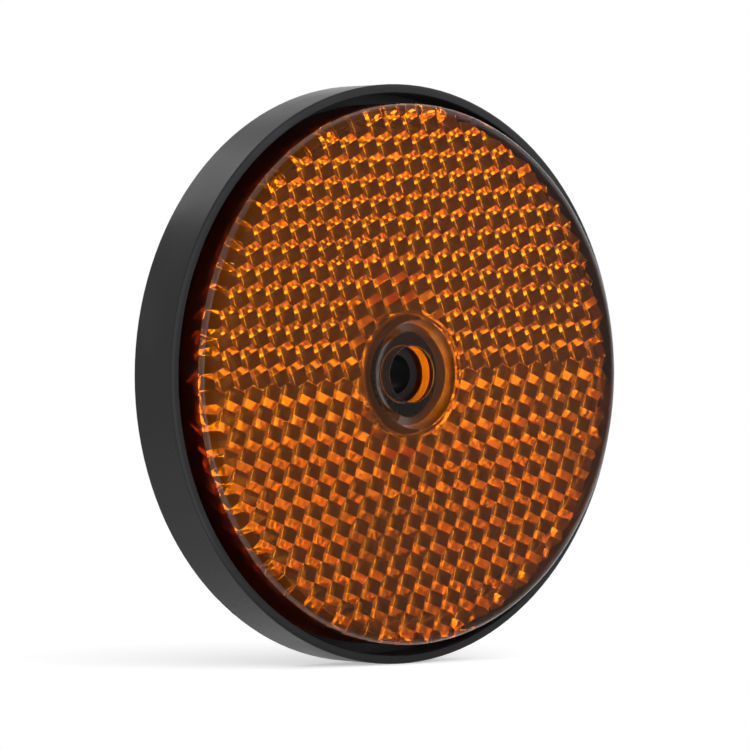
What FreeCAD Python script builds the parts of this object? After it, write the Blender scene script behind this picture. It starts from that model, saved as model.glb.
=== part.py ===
import FreeCAD, Part
import math
import os

# Round screw-on reflector: an amber prism lens welded into a black housing.
# It stands upright as it does on a post or a trailer. Its back face lies on y = 0,
# its face looks towards -Y and +Z is up. The origin is the centre of the back face.

Vector = FreeCAD.Vector

# Housing: a drafted cup with a thin rim around the lens.
housing_diameter = 80.0
wall_draft_deg = 0.5
rim_height = 8.5
rim_wall = 1.25
rim_outer_round = 0.4
rim_inner_round = 0.2
back_edge_round = 0.4
back_wall = 1.8
seat_height = 3.2
seat_wall = 4.2

# Screw post in the middle of the housing.
screw_hole_diameter = 5.5
post_wall = 3.4
post_foot_round = 0.8

# Lens: a flat plate, a skirt that stands on the seat inside the rim and a middle boss.
lens_proud = 3.7
lens_rim_gap = 1.45
lens_edge_round = 1.5
lens_plate = 2.0
skirt_wall = 1.0

# Dished recess and hole for the screw head, with a plain ring around the boss.
lens_hole_diameter = 7.8
recess_floor_diameter = 12.0
recess_mouth_diameter = 15.1
recess_depth = 1.2
boss_diameter = 16.8
boss_depth = 4.9
plain_ring = 0.4

# Cube-corner prisms on the lens's inner side, from the plain ring out to the skirt.
prism_pitch = 3.19
prism_root = 0.1
prism_least_cut = 0.3
field_turn_deg = 3.4
field_shift = 2.28

# Heights above the back face, and radii, that both pieces share.
lens_front = rim_height + lens_proud
plate_back = lens_front - lens_plate
boss_end = lens_front - boss_depth
rim_inner_radius = housing_diameter / 2 - rim_wall
lens_radius = rim_inner_radius - lens_rim_gap
skirt_inner_radius = lens_radius - skirt_wall
seat_inner_radius = housing_diameter / 2 - seat_wall
field_inner_radius = boss_diameter / 2 + plain_ring

# One step of the cube's corners along the lens axis: an edge of the cube over the root of 3.
prism_step = prism_pitch / math.sqrt(6)
hexagon_side = prism_pitch / math.sqrt(3)
row_spacing = prism_pitch * math.sqrt(3) / 2
valley_height = plate_back - prism_root
apex_height = valley_height - 2 * prism_step
root_height = lens_front - lens_plate / 2


def point(radius, height):
    return Vector(radius, 0, height)


def section(points):
    """Face in the XZ plane from (radius, height) points."""
    corners = [point(*p) for p in points]
    return Part.Face(Part.makePolygon(corners + corners[:1]))


def turned(points):
    """Solid of revolution about the axis of the reflector."""
    return section(points).revolve(Vector(0, 0, 0), Vector(0, 0, 1), 360)


def circle_edges(solid, radius, height):
    """Circular edges of a turned solid at a radius and a height."""
    found = []
    for edge in solid.Edges:
        curve = edge.Curve
        if isinstance(curve, Part.Circle) and edge.Closed:
            if abs(curve.Radius - radius) < 1e-4 and abs(curve.Center.z - height) < 1e-4:
                found.append(edge)
    return found


def rounded(solid, size, radius, height):
    return solid.makeFillet(size, circle_edges(solid, radius, height))


def housing():
    """Cup with its rim, the seat that carries the lens and the screw post."""
    hole = screw_hole_diameter / 2
    post = hole + post_wall
    outer = housing_diameter / 2
    draft = math.tan(math.radians(wall_draft_deg))
    back = outer - rim_height * draft
    foot = rim_inner_radius - (rim_height - seat_height) * draft
    cup = turned([
        (hole, 0),
        (back, 0),
        (outer, rim_height),
        (rim_inner_radius, rim_height),
        (foot, seat_height),
        (seat_inner_radius, seat_height),
        (seat_inner_radius, back_wall),
        (post, back_wall),
        (post, boss_end),
        (hole, boss_end),
    ])
    cup = rounded(cup, rim_outer_round, outer, rim_height)
    cup = rounded(cup, rim_inner_round, rim_inner_radius, rim_height)
    cup = rounded(cup, back_edge_round, back, 0)
    return rounded(cup, post_foot_round, post, back_wall)


def lens_blank():
    """Lens without its prisms: plate, skirt, boss, dished recess and screw hole."""
    hole = lens_hole_diameter / 2
    boss = boss_diameter / 2
    blank = turned([
        (hole, boss_end),
        (boss, boss_end),
        (boss, plate_back),
        (skirt_inner_radius, plate_back),
        (skirt_inner_radius, seat_height),
        (lens_radius, seat_height),
        (lens_radius, lens_front),
        (recess_mouth_diameter / 2, lens_front),
        (recess_floor_diameter / 2, lens_front - recess_depth),
        (hole, lens_front - recess_depth),
    ])
    return rounded(blank, lens_edge_round, lens_radius, lens_front)


def hexagon(cell):
    """Plan corners of a cell, the first one 30 degrees above the row."""
    angles = [math.radians(30 + 60 * k) for k in range(6)]
    x, y = cell
    return [(x + hexagon_side * math.cos(a), y + hexagon_side * math.sin(a)) for a in angles]


def cell_fits(cell):
    """Cells run into the skirt and are cut off at the plain ring, except for mere slivers."""
    reach = [math.hypot(*corner) for corner in hexagon(cell)]
    inside_skirt = min(reach) < skirt_inner_radius - prism_least_cut
    beyond_ring = max(reach) > field_inner_radius + prism_least_cut
    return inside_skirt and beyond_ring


def field_cells(side):
    """Cell centres of the upper (side 1) or lower (side -1) half of the face."""
    reach = math.ceil(2 * lens_radius / row_spacing)
    cells = []
    for row in range(reach):
        level = row if side > 0 else -row - 1
        y = (level + 0.5) * row_spacing
        start = field_shift + (level % 2) * prism_pitch / 2
        for column in range(-reach, reach):
            cell = (start + column * prism_pitch, y)
            if cell_fits(cell):
                cells.append(cell)
    return cells


def placed(corner, height):
    """A plan corner as a point, in the field turned about the axis."""
    turn = math.radians(field_turn_deg)
    x, y = corner
    return Vector(x * math.cos(turn) - y * math.sin(turn), x * math.sin(turn) + y * math.cos(turn), height)


def face_of(points):
    return Part.Face(Part.makePolygon(points + points[:1]))


def prism_field(side):
    """Half of the prisms as one solid, rooted inside the plate.

    Each cell is a cube corner with its apex to the back. Its six outer corners lie one and two
    steps above the apex in turn. The lower half is the upper half turned half way round.
    """
    step_order = (1, 2) if side > 0 else (2, 1)
    heights = [apex_height + prism_step * step_order[k % 2] for k in range(6)]
    far_corners = [k for k in range(6) if step_order[k % 2] == 2]
    faces = []
    walls = {}
    for cell in field_cells(side):
        plan = hexagon(cell)
        rim = [placed(plan[k], heights[k]) for k in range(6)]
        root = [placed(corner, root_height) for corner in plan]
        apex = placed(cell, apex_height)
        faces.append(face_of(root))
        for k in far_corners:
            faces.append(face_of([apex, rim[k - 1], rim[k], rim[(k + 1) % 6]]))
        for k in range(6):
            n = (k + 1) % 6
            middle = (root[k] + root[n]) * 0.5
            key = (round(middle.x, 3), round(middle.y, 3))
            if walls.pop(key, None) is None:
                walls[key] = [rim[k], rim[n], root[n], root[k]]
    faces += [face_of(wall) for wall in walls.values()]
    shell = Part.makeShell(faces)
    shell.sewShape()
    return Part.Solid(Part.Shell(shell.Faces))


def lens():
    """Amber lens: the blank with both halves of the prism field on its inner side."""
    inside = Part.makeCylinder(field_inner_radius, lens_front)
    outside = Part.makeCylinder(skirt_inner_radius + prism_root, lens_front)
    room = outside.cut(inside)
    halves = [prism_field(side).common(room) for side in (1, -1)]
    return lens_blank().fuse(halves).removeSplitter()


def upright(shape):
    """Stand the reflector up: its axis turns from +Z to -Y."""
    stood = shape.copy()
    stood.rotate(Vector(0, 0, 0), Vector(1, 0, 0), 90)
    return stood


def single_solid(shape):
    solid, = shape.Solids
    return solid


os.makedirs("parts", exist_ok=True)
pieces = {
    "black_housing": housing(),
    "amber_lens": lens(),
}
for name, shape in pieces.items():
    solid = upright(single_solid(shape))
    solid.exportStep(f"parts/{name}.step")
    box = solid.optimalBoundingBox()
    size = f"{box.XLength:.2f} x {box.YLength:.2f} x {box.ZLength:.2f} mm"
    print(name, size, f"{solid.Volume:.1f} mm3", len(solid.Faces), "faces, valid:", solid.isValid())
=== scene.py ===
import bpy
import bmesh
import math
from mathutils import Matrix, Vector


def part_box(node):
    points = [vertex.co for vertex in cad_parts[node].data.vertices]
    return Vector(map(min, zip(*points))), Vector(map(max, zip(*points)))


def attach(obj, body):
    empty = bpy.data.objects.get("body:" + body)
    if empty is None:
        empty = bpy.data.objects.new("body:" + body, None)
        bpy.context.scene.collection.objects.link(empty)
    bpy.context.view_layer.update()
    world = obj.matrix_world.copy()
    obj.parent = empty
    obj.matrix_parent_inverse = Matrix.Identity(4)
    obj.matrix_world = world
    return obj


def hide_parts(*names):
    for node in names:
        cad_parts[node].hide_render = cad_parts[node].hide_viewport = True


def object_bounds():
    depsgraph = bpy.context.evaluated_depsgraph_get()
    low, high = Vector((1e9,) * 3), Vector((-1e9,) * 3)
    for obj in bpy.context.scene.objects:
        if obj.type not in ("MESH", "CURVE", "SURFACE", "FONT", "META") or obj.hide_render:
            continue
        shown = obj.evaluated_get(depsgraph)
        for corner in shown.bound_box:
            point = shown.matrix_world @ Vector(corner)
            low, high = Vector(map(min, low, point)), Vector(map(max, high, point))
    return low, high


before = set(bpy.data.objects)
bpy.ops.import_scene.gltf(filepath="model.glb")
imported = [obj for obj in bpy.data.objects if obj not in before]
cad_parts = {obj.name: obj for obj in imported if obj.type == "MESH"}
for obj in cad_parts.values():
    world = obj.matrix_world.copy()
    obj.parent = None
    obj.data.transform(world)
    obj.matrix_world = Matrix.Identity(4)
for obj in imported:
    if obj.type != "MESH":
        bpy.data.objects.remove(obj)        # packed reflector, in metres, its face towards -Y
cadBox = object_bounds()
mm = 0.001
scene = bpy.context.scene
scene.view_settings.view_transform = "Standard"

lensLow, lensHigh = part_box("amber_lens")
lensRadius = lensHigh.x
lensFront = -lensLow.y   # heights are above the back face, along -Y
lensSeat = -lensHigh.y
print("frame loaded, lens radius %.2f mm, front %.2f mm" % (lensRadius / mm, lensFront / mm))


# small helpers
def linkObject(name, data):
    obj = bpy.data.objects.new(name, data)
    scene.collection.objects.link(obj)
    return obj


def meshFrom(name, points, faces):
    mesh = bpy.data.meshes.new(name)
    mesh.from_pydata(points, [], faces)
    return mesh


def evaluatedMesh(obj):
    view = bpy.context.evaluated_depsgraph_get()
    return bpy.data.meshes.new_from_object(obj.evaluated_get(view), depsgraph=view)


def applyModifiers(obj):
    obj.data = evaluatedMesh(obj)
    obj.modifiers.clear()


def checkClosed(mesh, label):
    work = bmesh.new()
    work.from_mesh(mesh)
    bmesh.ops.recalc_face_normals(work, faces=work.faces)
    loose = sum(1 for e in work.edges if len(e.link_faces) != 2)
    volume = work.calc_volume(signed=True)
    work.to_mesh(mesh)
    work.free()
    print(label, len(mesh.polygons), "faces,", loose, "open edges, %.1f mm3" % (volume / mm ** 3))


def arc(centre, radius, start, end, steps):
    turns = [math.radians(start + (end - start) * k / steps) for k in range(steps + 1)]
    return [(centre[0] + radius * math.cos(t), centre[1] + radius * math.sin(t)) for t in turns]


class Tree:
    def __init__(self, tree):
        self.tree = tree

    def node(self, kind, inputs=None, **settings):
        made = self.tree.nodes.new(kind)
        for key, value in settings.items():
            setattr(made, key, value)
        for key, value in (inputs or {}).items():
            self.feed(made.inputs[key], value)
        return made

    def feed(self, socket, value):
        if isinstance(value, bpy.types.NodeSocket):
            self.tree.links.new(value, socket)
        else:
            socket.default_value = value

    def math(self, operation, *values):
        return self.node("ShaderNodeMath", dict(enumerate(values)), operation=operation).outputs[0]

    def noise(self, place, settings):
        return self.node("ShaderNodeTexNoise", {"Vector": place, **settings}).outputs[0]

    def ramp(self, value, fromRange, toRange=(0.0, 1.0), **settings):
        names = ("From Min", "From Max", "To Min", "To Max")
        ends = dict(zip(names, (*fromRange, *toRange)))
        return self.node("ShaderNodeMapRange", {"Value": value, **ends}, **settings).outputs[0]

    def mix(self, share, first, second):
        return self.node("ShaderNodeMix", {0: share, 6: first, 7: second}, data_type="RGBA").outputs[2]

    def bump(self, height, strength, distance):
        made = self.node("ShaderNodeBump", {"Height": height, "Strength": strength, "Distance": distance})
        return made.outputs[0]

    def vector(self, **axes):
        return self.node("ShaderNodeCombineXYZ", axes).outputs[0]

    def axes(self, vector):
        return self.node("ShaderNodeSeparateXYZ", {0: vector}).outputs


def newMaterial(name):
    made = bpy.data.materials.new(name)
    made.use_nodes = True
    return made, Tree(made.node_tree), made.node_tree.nodes["Principled BSDF"].inputs


def dress(mesh, finishes, zoneOf):       # one material for each zone of a piece
    mesh.materials.clear()
    zones = list(finishes)
    for zone in zones:
        mesh.materials.append(finishes[zone])
    for face in mesh.polygons:
        face.material_index = zones.index(zoneOf(face.center))


# amber lens: a turned blank, with cube-corner prisms from a node tree joined to its back
lensSizes = {
    "plate": 2.0 * mm,
    "skirtWall": 1.0 * mm,
    "edgeRound": 1.5 * mm,
    "holeRadius": 3.9 * mm,
    "recessFloorRadius": 6.0 * mm,
    "recessMouthRadius": 7.55 * mm,
    "recessDepth": 1.2 * mm,
    "bossRadius": 8.4 * mm,
    "bossDepth": 4.9 * mm,
    "plainRing": 0.4 * mm,
    "smallRound": 0.15 * mm,
    "smallSteps": 4,
    "lipDrop": 0.0225 * mm,      # how far the middle of a rounded lip lies off the flat
    "flatGuard": 0.02 * mm,      # narrow ring beside a rounding, keeps the flats flat
    "zoneSlack": 0.01 * mm,
    "edgeGlossTilt": math.radians(52),
    "sharpAngle": math.radians(18),
    "aroundSteps": 240,
    "edgeSteps": 16,
}
prismSizes = {
    "pitch": 3.19 * mm,
    "root": 0.1 * mm,
    "leastCut": 0.3 * mm,
    "turn": math.radians(3.4),
    "shift": 2.28 * mm,
    "cellsAcross": 30,           # enough to reach past the skirt
    "mergeReach": 0.001 * mm,
    "edgeRound": 0.05 * mm,
    "edgeSegments": 2,
}
skirtInside = lensRadius - lensSizes["skirtWall"]
ringOutside = lensSizes["bossRadius"] + lensSizes["plainRing"]


def bossProfile(s, plateBack):
    bossEnd = lensFront - s["bossDepth"]
    hole, boss, small, guard = s["holeRadius"], s["bossRadius"], s["smallRound"], s["flatGuard"]
    points = arc((hole + small, bossEnd + small), small, 180, 270, s["smallSteps"])
    points += [(hole + small + guard, bossEnd), (boss - small - guard, bossEnd)]
    points += arc((boss - small, bossEnd + small), small, -90, 0, s["smallSteps"])
    return points + [(boss, plateBack), (boss + guard, plateBack)]


def skirtProfile(s, plateBack):
    big, guard = s["edgeRound"], s["flatGuard"]
    points = [(skirtInside - guard, plateBack), (skirtInside, plateBack)]
    points += [(skirtInside, lensSeat), (lensRadius, lensSeat), (lensRadius, lensFront - big - guard)]
    points += arc((lensRadius - big, lensFront - big), big, 0, 90, s["edgeSteps"])
    return points + [(lensRadius - big - guard, lensFront)]


def recessProfile(s):
    mouth, foot, hole = s["recessMouthRadius"], s["recessFloorRadius"], s["holeRadius"]
    floor, small, guard, drop = lensFront - s["recessDepth"], s["smallRound"], s["flatGuard"], s["lipDrop"]
    slope = math.hypot(mouth - foot, s["recessDepth"])
    inward, down = (mouth - foot) / slope * small, s["recessDepth"] / slope * small
    points = [(mouth + guard + small, lensFront), (mouth + small, lensFront), (mouth, lensFront - drop)]
    points += [(mouth - inward, lensFront - down), (foot + inward, floor + down)]
    points += [(foot, floor + drop), (foot - small, floor), (foot - small - guard, floor)]
    points += [(hole + small + guard, floor)]
    return points + arc((hole + small, floor - small), small, 90, 180, s["smallSteps"])


def lensProfile(s):
    plateBack = lensFront - s["plate"]
    return bossProfile(s, plateBack) + skirtProfile(s, plateBack) + recessProfile(s)


def turnedMesh(name, profile, steps):
    count = len(profile)
    points = []
    for k in range(steps):
        turn = 2 * math.pi * k / steps
        points += [(r * math.cos(turn), r * math.sin(turn), h) for r, h in profile]
    faces = []
    for k in range(steps):
        here, there = k * count, (k + 1) % steps * count
        for n in range(count):
            m = (n + 1) % count
            faces.append((here + n, there + n, there + m, here + m))
    return meshFrom(name, points, faces)


def cubeCornerCell(s):
    side, step = s["pitch"] / math.sqrt(3), s["pitch"] / math.sqrt(6)
    apexHeight = lensFront - lensSizes["plate"] - s["root"] - 2 * step
    points = [(0, 0, apexHeight)]
    for k in range(6):
        turn = math.radians(30 + 60 * k)
        rise = step * (1 + k % 2)
        points.append((side * math.cos(turn), side * math.sin(turn), apexHeight + rise))
    faces = [(0, 1 + (k + 1) % 6, 1 + k, 1 + (k - 1) % 6) for k in (1, 3, 5)]
    return meshFrom("cubeCornerCell", points, faces)


def leftOutCells(t, given, place):       # cells run into the skirt and end at the plain ring, without slivers
    side = t.math("DIVIDE", given["Pitch"], math.sqrt(3))
    reach = t.math("SQRT", t.math("ADD", t.math("POWER", place["X"], 2), t.math("POWER", place["Y"], 2)))
    around = t.math("ARCTAN2", place["Y"], place["X"])
    corner = t.math("SUBTRACT", t.math("FLOORED_MODULO", around, math.pi / 3), math.pi / 6)
    cross = t.math("MULTIPLY", t.math("MULTIPLY", reach, side), t.math("COSINE", corner))
    squares = t.math("ADD", t.math("POWER", reach, 2), t.math("POWER", side, 2))
    near = t.math("SQRT", t.math("SUBTRACT", squares, t.math("MULTIPLY", cross, 2)))
    far = t.math("SQRT", t.math("ADD", squares, t.math("MULTIPLY", cross, 2)))
    outside = t.math("GREATER_THAN", near, t.math("SUBTRACT", given["Skirt Radius"], given["Least Cut"]))
    inside = t.math("LESS_THAN", far, t.math("ADD", given["Ring Radius"], given["Least Cut"]))
    otherHalf = t.math("LESS_THAN", t.math("MULTIPLY", place["Y"], given["Side"]), 0)
    return t.math("MAXIMUM", t.math("MAXIMUM", outside, inside), otherHalf)


def cellPlaces(t, given):
    count = prismSizes["cellsAcross"]
    rows = t.math("MULTIPLY", given["Pitch"], math.sqrt(3) / 2)
    grid = t.node("GeometryNodeMeshGrid", {
        "Vertices X": count + 1,
        "Vertices Y": count,
        "Size X": t.math("MULTIPLY", given["Pitch"], count),
        "Size Y": t.math("MULTIPLY", rows, count - 1),
    })
    place = t.axes(t.node("GeometryNodeInputPosition").outputs[0])
    odd = t.math("FLOORED_MODULO", t.math("FLOOR", t.math("DIVIDE", place["Y"], rows)), 2)
    stagger = t.math("MULTIPLY", odd, t.math("MULTIPLY", given["Pitch"], 0.5))
    move = t.math("ADD", given["Row Shift"], stagger)
    spread = t.node("GeometryNodeSetPosition", {"Geometry": grid.outputs["Mesh"], "Offset": t.vector(X=move)})
    kept = t.node("GeometryNodeDeleteGeometry", {
        "Geometry": spread.outputs[0],
        "Selection": leftOutCells(t, given, place),
    }, domain="POINT")
    return kept.outputs[0]


def prismRelief(t, given, places):
    half = t.math("MULTIPLY", t.math("LESS_THAN", given["Side"], 0), math.pi)
    cells = t.node("GeometryNodeInstanceOnPoints", {
        "Points": places,
        "Instance": given["Cell"],
        "Rotation": t.vector(Z=half),
    })
    loose = t.node("GeometryNodeRealizeInstances", {"Geometry": cells.outputs[0]})
    merged = t.node("GeometryNodeMergeByDistance", {
        "Geometry": loose.outputs[0],
        "Distance": prismSizes["mergeReach"],
    })
    turned = t.node("GeometryNodeTransform", {
        "Geometry": merged.outputs[0],
        "Rotation": t.vector(Z=given["Turn"]),
    })
    shared = t.node("FunctionNodeCompare", {
        "A": t.node("GeometryNodeInputMeshEdgeNeighbors").outputs[0],
        "B": 1.5,                # between one face and two
    }, data_type="FLOAT", operation="GREATER_THAN")
    marked = t.node("GeometryNodeStoreNamedAttribute", {
        "Geometry": turned.outputs[0],
        "Name": "bevel_weight_edge",
        "Value": shared.outputs[0],
    }, data_type="FLOAT", domain="EDGE")
    return marked.outputs[0]


def closedPrisms(t, given, relief):      # the relief pulled forward into the plate closes to one solid
    pulled = t.node("GeometryNodeExtrudeMesh", {
        "Mesh": relief,
        "Offset Scale": 0.0,
        "Individual": False,
    }, mode="FACES")
    flat = t.axes(t.node("GeometryNodeInputPosition").outputs[0])
    rooted = t.node("GeometryNodeSetPosition", {
        "Geometry": pulled.outputs["Mesh"],
        "Selection": pulled.outputs["Top"],
        "Position": t.vector(X=flat["X"], Y=flat["Y"], Z=given["Root Height"]),
    })
    back = t.node("GeometryNodeFlipFaces", {"Mesh": rooted.outputs[0]})
    both = t.node("GeometryNodeJoinGeometry")
    for part in (back.outputs[0], relief):
        t.feed(both.inputs[0], part)
    solid = t.node("GeometryNodeMergeByDistance", {
        "Geometry": both.outputs[0],
        "Distance": prismSizes["mergeReach"],
    })
    return solid.outputs[0]


def prismFieldTree(valueNames):
    group = bpy.data.node_groups.new("prismField", "GeometryNodeTree")
    group.interface.new_socket("Cell", in_out="INPUT", socket_type="NodeSocketGeometry")
    for name in valueNames:
        group.interface.new_socket(name, in_out="INPUT", socket_type="NodeSocketFloat")
    group.interface.new_socket("Field", in_out="OUTPUT", socket_type="NodeSocketGeometry")
    t = Tree(group)
    given = t.node("NodeGroupInput").outputs
    relief = prismRelief(t, given, cellPlaces(t, given))
    t.node("NodeGroupOutput", {"Field": closedPrisms(t, given, relief)})
    return group


def setInputs(modifier, values):
    items = modifier.node_group.interface.items_tree
    sockets = {i.name: i.identifier for i in items if i.item_type == "SOCKET" and i.in_out == "INPUT"}
    for name, value in values.items():
        modifier[sockets[name]] = value


def fieldValues(side):           # side 1 is the upper half of the face, -1 the lower
    s = prismSizes
    return {
        "Pitch": s["pitch"],
        "Skirt Radius": skirtInside,
        "Ring Radius": ringOutside,
        "Least Cut": s["leastCut"],
        "Row Shift": s["shift"],
        "Side": side,
        "Turn": s["turn"],
        "Root Height": lensFront - lensSizes["plate"] / 2,
    }


def prismField(tree, values):
    field = linkObject("prismField", cubeCornerCell(prismSizes))
    nodes = field.modifiers.new("prisms", "NODES")
    nodes.node_group = tree
    setInputs(nodes, values)
    applyModifiers(field)
    soften = field.modifiers.new("edges", "BEVEL")
    soften.limit_method = "WEIGHT"
    soften.width = prismSizes["edgeRound"]
    soften.segments = prismSizes["edgeSegments"]
    applyModifiers(field)
    checkClosed(field.data, "prism field")
    return field


def fieldRoom():
    outer = skirtInside + prismSizes["root"]
    profile = [(ringOutside, 0.0), (outer, 0.0), (outer, lensFront), (ringOutside, lensFront)]
    mesh = turnedMesh("fieldRoom", profile, lensSizes["aroundSteps"])
    checkClosed(mesh, "field room")
    return linkObject("fieldRoom", mesh)


def joinSolids(base, other, operation):
    join = base.modifiers.new("join", "BOOLEAN")
    join.operation = operation
    join.solver = "MANIFOLD"
    join.object = other
    applyModifiers(base)


def lensZone(centre):
    height, reach, s = -centre.y, math.hypot(centre.x, centre.z), lensSizes
    slack, roundStart = s["zoneSlack"], lensRadius - s["edgeRound"]
    out, up = reach - roundStart, height - lensFront + s["edgeRound"]
    if out > 0 and up > 0:
        return "edge" if math.atan2(out, up) > s["edgeGlossTilt"] else "face"
    if height > lensFront - s["recessDepth"] - slack and reach < roundStart:
        beyondMouth = reach > s["recessMouthRadius"] + s["smallRound"]
        return "face" if beyondMouth or height > lensFront - slack else "recess"
    if reach > lensRadius - s["skirtWall"] / 2:
        return "side"
    if reach < s["holeRadius"] + slack:
        return "hole"
    return "boss" if reach < s["bossRadius"] + slack else "prisms"


def amberLens(finishes):
    lens = linkObject("amberLens", turnedMesh("amberLens", lensProfile(lensSizes), lensSizes["aroundSteps"]))
    checkClosed(lens.data, "lens blank")
    room = fieldRoom()
    halves = [fieldValues(side) for side in (1.0, -1.0)]
    tree = prismFieldTree(halves[0])
    for values in halves:
        field = prismField(tree, values)
        joinSolids(field, room, "INTERSECT")
        joinSolids(lens, field, "UNION")
        bpy.data.objects.remove(field)
    bpy.data.objects.remove(room)
    mesh = lens.data
    mesh.transform(Matrix.Rotation(math.radians(90), 4, "X"))    # stands the lens up, axis to -Y
    checkClosed(mesh, "amber lens")
    dress(mesh, finishes, lensZone)
    for face in mesh.polygons:
        face.use_smooth = True
    mesh.set_sharp_from_angle(angle=lensSizes["sharpAngle"])
    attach(lens, "root")
    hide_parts("amber_lens")


amberDye = (1.0, 0.26, 0.03, 1)
amberLook = {
    "ior": 1.49,
    "tint": {"Color": (0.9933, 0.973, 0.0, 1), "Density": 300.0},
    "haze": {"Scale": 260.0, "Detail": 4.0},
    "hazeRange": (0.52, 0.75),
    "wave": {"Scale": 90.0, "Detail": 1.0},
    "waveHeight": 0.004 * mm,
}
amberZones = {                   # gloss is a share of the plain reflection, the rest of clear is scatter
    "face": {"dyeAndPaintedShade": amberDye, "gloss": 0.05, "rough": (0.0, 0.012), "clear": 1.0},
    "prisms": {"dyeAndPaintedShade": (1.0, 0.92, 0.6, 1), "gloss": 0.05, "rough": (0.0, 0.012), "clear": 0.945},
    "recess": {"dyeAndPaintedShade": amberDye, "gloss": 0.1, "rough": (0.0, 0.02), "clear": 1.0},
    "hole": {"dyeAndPaintedShade": (0.75, 0.16, 0.015, 1), "gloss": 0.3, "rough": (0.0, 0.02), "clear": 1.0},
    # painted shade: the boss walls get a dimmer, greyer colour than the prisms so the region around the boss
    # renders darker
    "boss": {"dyeAndPaintedShade": (0.6, 0.45, 0.3, 1), "gloss": 0.3, "rough": (0.4, 0.6), "clear": 1.0},
    "edge": {"dyeAndPaintedShade": amberDye, "gloss": 0.8, "rough": (0.0, 0.02), "clear": 1.0},
    # painted shade: the side wall's colour is a near black-red standing in for the shade seen through the
    # lens side, the same amber plastic as the face
    "side": {"dyeAndPaintedShade": (0.07, 0.002, 0.0005, 1), "gloss": 0.4, "rough": (0.3, 0.5), "clear": 1.0},
}


def amberPlastic(zone):
    look, finish = amberLook, amberZones[zone]
    made, t, shader = newMaterial("amber" + zone.capitalize())
    # base colour is the amber dye, and on the side and boss zones it is also painted shade
    shader["Base Color"].default_value = finish["dyeAndPaintedShade"]
    shader["Transmission Weight"].default_value = finish["clear"]
    shader["IOR"].default_value = look["ior"]
    shader["Specular Tint"].default_value = (finish["gloss"], finish["gloss"], finish["gloss"], 1)
    place = t.node("ShaderNodeTexCoord").outputs["Object"]
    haze = t.noise(place, look["haze"])
    t.feed(shader["Roughness"], t.ramp(haze, look["hazeRange"], finish["rough"]))
    t.feed(shader["Normal"], t.bump(t.noise(place, look["wave"]), 1.0, look["waveHeight"]))
    tint = t.node("ShaderNodeVolumeAbsorption", look["tint"])
    t.feed(t.tree.nodes["Material Output"].inputs["Volume"], tint.outputs[0])
    return made


amberLens({zone: amberPlastic(zone) for zone in amberZones})
print("amber lens built")

# black housing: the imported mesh, with a satin moulded finish
blackLook = {
    "roughRange": (0.22, 0.36),
    "cloud": {"Scale": 70.0, "Detail": 5.0},
    "cloudRange": (0.3, 0.7),
    "wornRange": (0.55, 0.8),
    "grain": {"Scale": 3400.0, "Detail": 2.0},
    "grainStrength": 0.6,
    "grainHeight": 0.012 * mm,
    "scuff": {"Scale": 420.0, "Detail": 2.0},
    "scuffStretch": (1.0, 0.35, 1.0),
    "scuffRange": (0.80, 0.86),
    "scuffColour": (0.16, 0.16, 0.165, 1),
}
blackZones = {
    "outside": {"colour": (0.013, 0.013, 0.014, 1), "worn": (0.02, 0.02, 0.021, 1), "gloss": 0.09},
    # painted light: the inside of the cup is lighter than the same black plastic outside, so it sends more
    # light back through the lens
    "inside": {"colour": (0.04, 0.04, 0.04, 1), "worn": (0.06, 0.06, 0.06, 1), "gloss": 0.15},
    "post": {"colour": (0.014, 0.014, 0.014, 1), "worn": (0.02, 0.02, 0.02, 1), "gloss": 0.05},
    # painted shade: the bore is darker than the same black plastic elsewhere so the deep hole renders black
    "bore": {"colour": (0.004, 0.004, 0.004, 1), "worn": (0.006, 0.006, 0.006, 1), "gloss": 0.02},
}
housingSizes = {
    "seatRadius": 35.85 * mm,
    "postRadius": 7.2 * mm,      # post and its foot
    "boreRadius": 2.8 * mm,
    "backSlack": 0.02 * mm,
}


def housingZone(centre):
    height, reach = -centre.y, math.hypot(centre.x, centre.z)
    if height < housingSizes["backSlack"] or reach > housingSizes["seatRadius"]:
        return "outside"
    if reach < housingSizes["boreRadius"]:
        return "bore"
    return "post" if reach < housingSizes["postRadius"] else "inside"


def blackPlastic(zone):
    look, finish = blackLook, blackZones[zone]
    made, t, shader = newMaterial("black" + zone.capitalize())
    shader["Specular IOR Level"].default_value = finish["gloss"]
    place = t.node("ShaderNodeTexCoord").outputs["Object"]
    cloud = t.noise(place, look["cloud"])
    t.feed(shader["Roughness"], t.ramp(cloud, look["cloudRange"], look["roughRange"]))
    worn = t.mix(t.ramp(cloud, look["wornRange"]), finish["colour"], finish["worn"])
    drawn = t.node("ShaderNodeMapping", {"Vector": place, "Scale": look["scuffStretch"]})
    nick = t.ramp(t.noise(drawn.outputs[0], look["scuff"]), look["scuffRange"])
    t.feed(shader["Base Color"], t.mix(nick, worn, look["scuffColour"]))
    grain = t.noise(place, look["grain"])
    t.feed(shader["Normal"], t.bump(grain, look["grainStrength"], look["grainHeight"]))
    return made


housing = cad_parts["black_housing"]
dress(housing.data, {zone: blackPlastic(zone) for zone in blackZones}, housingZone)
print("black housing dressed")

# camera, placed by the pattern of the prisms in the photograph
cameraPlace = {
    "azimuth": math.radians(-40.0),
    "elevation": math.radians(0.69),
    "distance": 819.8 * mm,
    "aimRight": 4.68 * mm,
    "aimUp": 0.096 * mm,
    "patternPlane": 10.336 * mm,
    "lens": 285.85,
    "sensor": 36.0,
    "nearest": 0.01,
}


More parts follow.
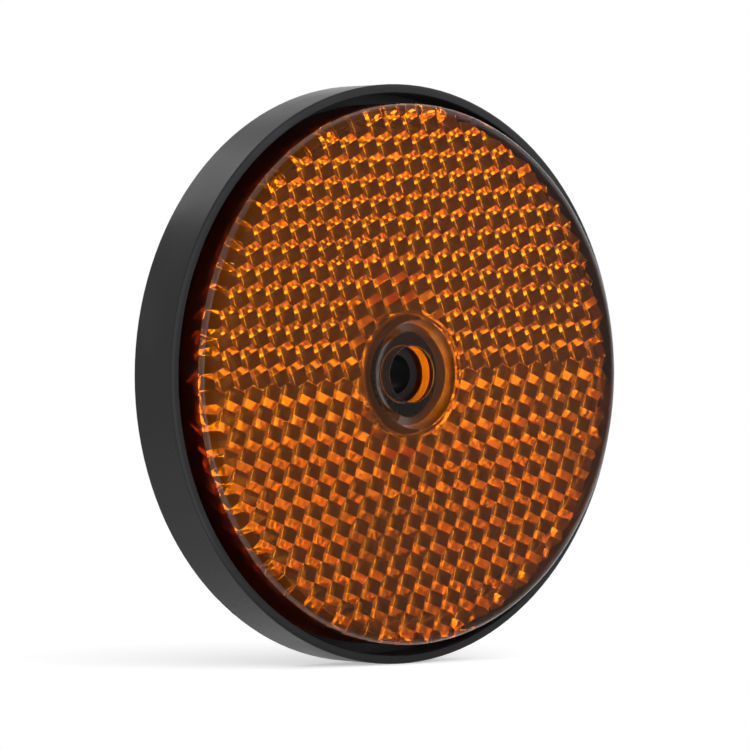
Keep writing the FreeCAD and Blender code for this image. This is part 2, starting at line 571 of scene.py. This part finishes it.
def photoCamera(c):
    level = math.cos(c["elevation"])
    ahead = (-math.sin(c["azimuth"]) * level, math.cos(c["azimuth"]) * level, -math.sin(c["elevation"]))
    forward = Vector(ahead)
    right = Vector((math.cos(c["azimuth"]), math.sin(c["azimuth"]), 0))
    up = right.cross(forward)
    middle = Vector((0, -c["patternPlane"], 0))
    data = bpy.data.cameras.new("photoCamera")
    data.lens = c["lens"]
    data.sensor_width = c["sensor"]
    data.clip_start = c["nearest"]
    camera = linkObject("photoCamera", data)
    camera.location = middle - c["aimRight"] * right - c["aimUp"] * up - c["distance"] * forward
    camera.rotation_euler = forward.to_track_quat("-Z", "Y").to_euler()
    scene.camera = camera


photoCamera(cameraPlace)

# studio: a pale floor in a soft white room that is brighter in front
studio = {
    "floorRadius": 0.11,
    "floorMiddle": (0.02, 0.065),
    "floorSteps": 96,
    "floorColour": (0.86, 0.86, 0.86, 1),
    "floorRough": 0.9,
    "floorLift": 0.45,
    "white": (1, 1, 1, 1),
    "backLevel": 0.4,
    "frontLevel": 2.4,
    "frontEase": (-0.25, 0.35),  # from behind to the front, as the part of a direction along -Y
    "highDim": 0.75,             # share of the light that is gone overhead
    "highEase": (0.5, 0.8),
    "mirrorDim": {"azimuth": 40, "elevation": -0.7, "inner": 9, "outer": 17, "amount": 0.4},
    "lowPatch": {"azimuth": -12, "elevation": -45, "inner": 12, "outer": 32, "amount": 1.8},
    "rearLamp": {"azimuth": -172, "elevation": 42, "distance": 0.7, "size": 0.3, "brightness": 2.5},
    "bounces": 24,
    "clearBounces": 20,
}


def bearing(azimuth, elevation):
    a, e = math.radians(azimuth), math.radians(elevation)
    return Vector((math.sin(a) * math.cos(e), -math.cos(a) * math.cos(e), math.sin(e)))


def eased(t, value, ends):
    return t.ramp(value, ends, interpolation_type="SMOOTHSTEP")


def patch(t, way, azimuth, elevation, inner, outer, amount):
    near = t.node("ShaderNodeVectorMath", {0: way, 1: bearing(azimuth, elevation)}, operation="DOT_PRODUCT")
    ends = (math.cos(math.radians(outer)), math.cos(math.radians(inner)))
    return t.math("MULTIPLY", eased(t, near.outputs["Value"], ends), amount)


def shownDirect(t):
    path = t.node("ShaderNodeLightPath").outputs
    seen = t.math("MAXIMUM", path["Is Camera Ray"], path["Is Glossy Ray"])
    return t.math("MAXIMUM", seen, path["Is Transmission Ray"])


def softRoom(s):
    world = bpy.data.worlds.new("softRoom")
    world.use_nodes = True
    scene.world = world
    t = Tree(world.node_tree)
    way = t.node("ShaderNodeTexCoord").outputs["Generated"]
    axes = t.axes(way)
    front = eased(t, t.math("MULTIPLY", axes["Y"], -1.0), s["frontEase"])
    level = t.math("MULTIPLY_ADD", front, s["frontLevel"] - s["backLevel"], s["backLevel"])
    high = eased(t, axes["Z"], s["highEase"])
    level = t.math("MULTIPLY", level, t.math("MULTIPLY_ADD", high, -s["highDim"], 1.0))
    level = t.math("MULTIPLY", level, t.math("SUBTRACT", 1.0, patch(t, way, **s["mirrorDim"])))
    level = t.math("ADD", level, patch(t, way, **s["lowPatch"]))
    level = t.math("MAXIMUM", level, shownDirect(t))     # what is seen directly is white at least
    room = world.node_tree.nodes["Background"].inputs
    room["Color"].default_value = s["white"]
    t.feed(room["Strength"], level)


def softLamp(name, azimuth, elevation, distance, size, brightness):
    light = bpy.data.lights.new(name, "AREA")
    light.shape = "DISK"
    light.size = size
    light.energy = brightness * math.pi * math.pi * size * size / 4
    lamp = linkObject(name, light)
    lamp.location = bearing(azimuth, elevation) * distance
    lamp.rotation_euler = (-lamp.location).to_track_quat("-Z", "Y").to_euler()


def paleFloor(s):
    x, y = s["floorMiddle"]
    turns = [2 * math.pi * k / s["floorSteps"] for k in range(s["floorSteps"])]
    reach, height = s["floorRadius"], cadBox[0].z
    ring = [(x + reach * math.cos(turn), y + reach * math.sin(turn), height) for turn in turns]
    floor = linkObject("paleFloor", meshFrom("paleFloor", ring, [tuple(range(len(ring)))]))
    made, t, shader = newMaterial("palePaper")
    shader["Base Color"].default_value = s["floorColour"]
    shader["Roughness"].default_value = s["floorRough"]
    shader["Specular IOR Level"].default_value = 0.0
    shader["Emission Color"].default_value = s["white"]
    t.feed(shader["Emission Strength"], t.math("MULTIPLY", shownDirect(t), s["floorLift"]))
    floor.data.materials.append(made)


softRoom(studio)
paleFloor(studio)
softLamp("rearLamp", **studio["rearLamp"])
scene.cycles.max_bounces = studio["bounces"]
scene.cycles.transmission_bounces = studio["clearBounces"]
scene.cycles.glossy_bounces = studio["clearBounces"]
print("studio set")
